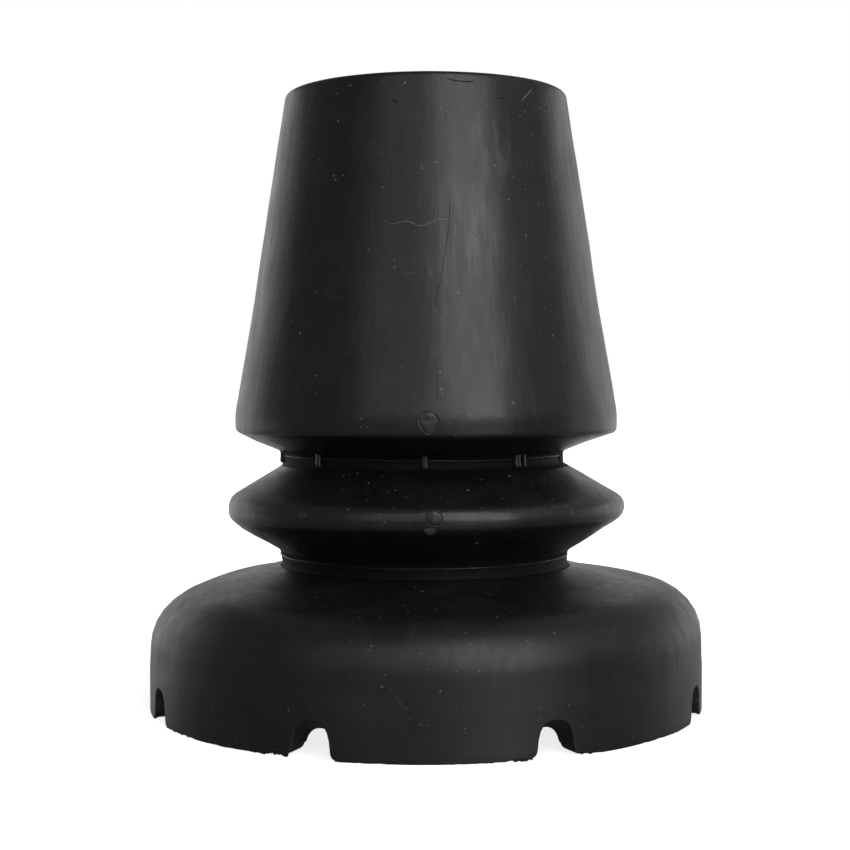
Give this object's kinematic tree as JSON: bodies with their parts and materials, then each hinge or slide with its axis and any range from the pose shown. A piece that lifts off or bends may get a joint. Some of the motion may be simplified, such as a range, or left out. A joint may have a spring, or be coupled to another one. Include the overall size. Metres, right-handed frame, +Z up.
{
  "type": "rubber cane tip",
  "caption": "Black rubber tip for a walking stick: a tapered socket on a bellows ankle, standing on a wide hollow base with grip notches round its rim.",
  "frame": {"origin": "centre of the rim's resting face, on the floor", "axes": "+Z up along the axis of the tip, from the floor to the mouth of the socket; -Y towards the side that the picture shows; +X to the right of that side"},
  "size_m": [0.057, 0.057, 0.063],
  "materials": {
    "rubber": "semi-matt moulded black rubber with fine dust, faint mould lines and small scuffs"
  },
  "bodies": {
    "root": {"cane_tip": "rubber"}
  },
  "joints": []
}
